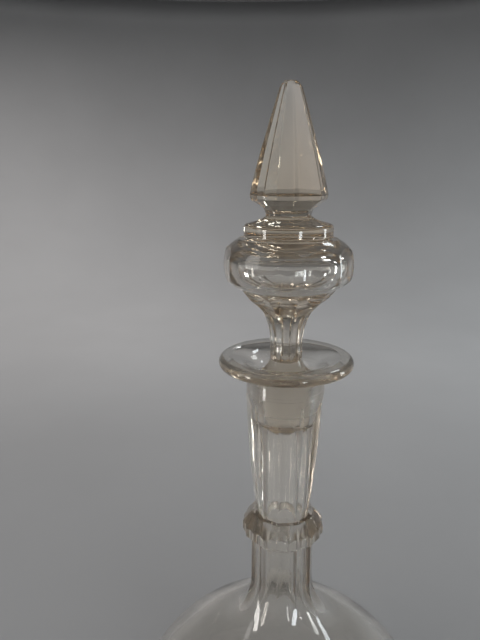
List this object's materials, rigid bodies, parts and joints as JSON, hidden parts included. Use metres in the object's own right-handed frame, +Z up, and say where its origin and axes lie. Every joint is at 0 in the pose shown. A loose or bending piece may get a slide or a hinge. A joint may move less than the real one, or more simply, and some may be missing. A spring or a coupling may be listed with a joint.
{
  "type": "decanter",
  "caption": "Clear cut crystal shaft-and-globe decanter with flat-cut neck, applied neck ring, wide flared lip and a tall faceted spire stopper.",
  "frame": {"origin": "middle of the face that the decanter stands on", "axes": "+Z up the axis of the globe, the neck and the stopper; a corner between two neck flats points to -Y"},
  "size_m": [0.169, 0.169, 0.4134],
  "materials": {
    "vessel_glass": "clear lead crystal, flat cuts polished, base ring and socket ground",
    "ring_glass": "clear lead crystal, cut and polished",
    "stopper_glass": "clear lead crystal, cut and polished, plug ground to a frosted taper",
    "merese_glass": "clear lead crystal, fire polished",
    "spire_glass": "clear lead crystal, cut and polished"
  },
  "bodies": {
    "decanter": {"vessel": "vessel_glass", "neck_ring": "ring_glass"},
    "stopper": {"stopper_bulb": "stopper_glass", "stopper_merese": "merese_glass", "stopper_spire": "spire_glass"}
  },
  "joints": [
    {"name": "stopper_lift", "type": "slide", "parent": "decanter", "child": "stopper", "axis": [0, 0, 1], "range_m": [0, 0.06]}
  ]
}
